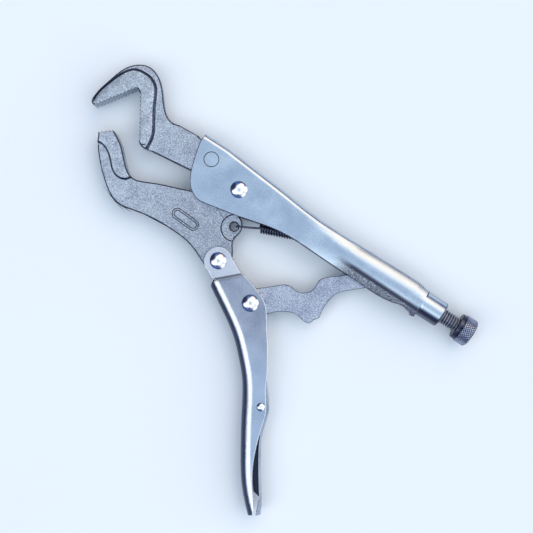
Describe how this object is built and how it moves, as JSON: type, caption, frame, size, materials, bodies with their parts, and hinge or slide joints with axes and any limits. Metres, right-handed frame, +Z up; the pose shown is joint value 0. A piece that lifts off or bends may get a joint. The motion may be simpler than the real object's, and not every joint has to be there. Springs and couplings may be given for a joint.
{
  "type": "locking pliers",
  "caption": "Locking pliers with a forked parrot-nose fixed jaw, hooked movable jaw, toggle link, adjusting screw and release lever.",
  "frame": {"origin": "under the middle of the tool's box, on the surface that it lies on", "axes": "+X along the adjusting screw from the jaws to the knob, +Y towards the fixed handle's back, +Z up, across the tool's thickness"},
  "size_m": [0.2616, 0.1894, 0.0182],
  "materials": {
    "forged_nickel": "nickel plate over a fine blasted forging",
    "plated_sheet": "satin nickel plate on pressed sheet",
    "plated_strip": "satin nickel plate on thin strip",
    "bright_rivet": "bright domed rivet head",
    "dark_screw": "rolled thread, dark plate",
    "dark_knob": "knurled, dark plate",
    "spring_wire": "drawn spring wire"
  },
  "bodies": {
    "fixed_side": {"fixed_handle": "plated_sheet", "fixed_jaw": "forged_nickel", "jaw_rivet": "bright_rivet", "main_pivot_rivet": "bright_rivet", "return_spring": "spring_wire"},
    "moving_jaw": {"movable_jaw": "forged_nickel"},
    "moving_side": {"movable_handle": "plated_sheet", "handle_pivot_rivet": "bright_rivet", "link_pivot_rivet": "bright_rivet", "lever_pin": "bright_rivet"},
    "link": {"toggle_link": "forged_nickel"},
    "lever": {"release_lever": "plated_strip"},
    "screw_feed": {"screw_nose": "dark_screw"},
    "screw": {"adjusting_screw": "dark_screw", "screw_knob": "dark_knob"}
  },
  "joints": [
    {"name": "jaw_pivot", "type": "hinge", "parent": "fixed_side", "child": "moving_jaw", "pos_m": [-0.0298, 0.0629, 0.0091], "axis": [0, 0, 1], "range_deg": [-15.5, 0.2], "deforming": ["return_spring"]},
    {"name": "handle_pivot", "type": "hinge", "parent": "moving_jaw", "child": "moving_side", "pos_m": [-0.0174, 0.0215, 0.0091], "axis": [0, 0, 1], "range_deg": [0, 44.8]},
    {"name": "link_pivot", "type": "hinge", "parent": "moving_side", "child": "link", "pos_m": [0.0118, 0.011, 0.0091], "axis": [0, 0, 1], "range_deg": [-43, 0.2]},
    {"name": "lever_pivot", "type": "hinge", "parent": "moving_side", "child": "lever", "pos_m": [0.0499, -0.0364, 0.0091], "axis": [0, 0, 1], "range_deg": [-1, 9]},
    {"name": "screw_travel", "type": "slide", "parent": "fixed_side", "child": "screw_feed", "axis": [1, 0, 0], "range_m": [0, 0.012]},
    {"name": "screw_turn", "type": "hinge", "parent": "screw_feed", "child": "screw", "pos_m": [0.1202, 0.0661, 0.0091], "axis": [1, 0, 0], "range_deg": [-1, 2701]}
  ],
  "couplings": [
    {"joint": "jaw_pivot", "follows": "handle_pivot", "ratio": -0.34321},
    {"joint": "link_pivot", "follows": "handle_pivot", "ratio": -0.95647},
    {"joint": "screw_turn", "follows": "screw_travel", "rad_per_m": 3927}
  ]
}
